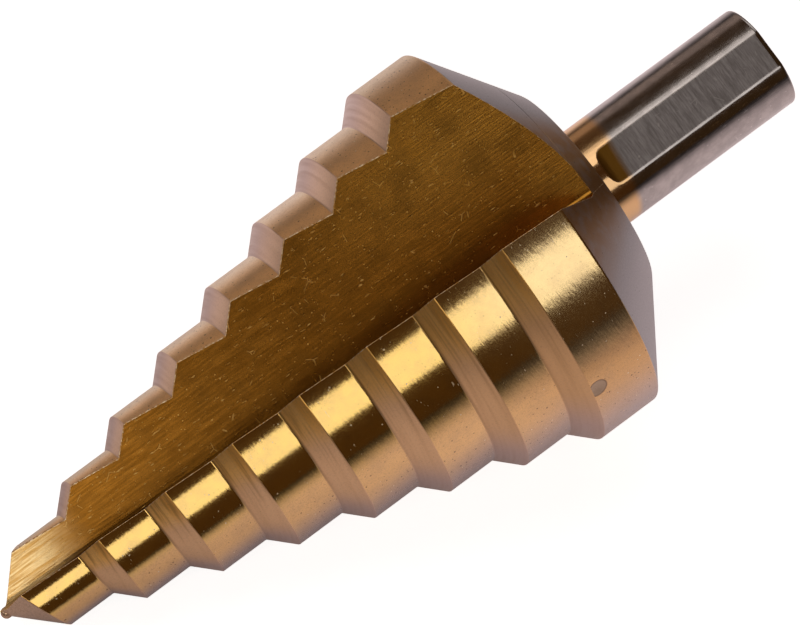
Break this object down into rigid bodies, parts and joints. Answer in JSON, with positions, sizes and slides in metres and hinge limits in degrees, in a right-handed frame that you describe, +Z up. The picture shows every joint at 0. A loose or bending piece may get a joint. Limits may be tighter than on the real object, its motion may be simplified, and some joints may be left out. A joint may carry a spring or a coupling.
{
  "type": "step drill",
  "caption": "Stepped drill for opening out holes in sheet metal, with straight flutes, a pointed tip and a three-flat shank.",
  "frame": {"origin": "on the surface it lies on, under the middle of its box", "axes": "+X the long way, from the tip to the shank as seen from above; +Z up, as it comes to rest on its side; +Y completes a right-handed frame"},
  "size_m": [0.0988, 0.045, 0.0416],
  "materials": {
    "step_drill": "golden nitride coating on ground steel; the shank is bare steel"
  },
  "bodies": {
    "root": {"step_drill": "step_drill"}
  },
  "joints": []
}
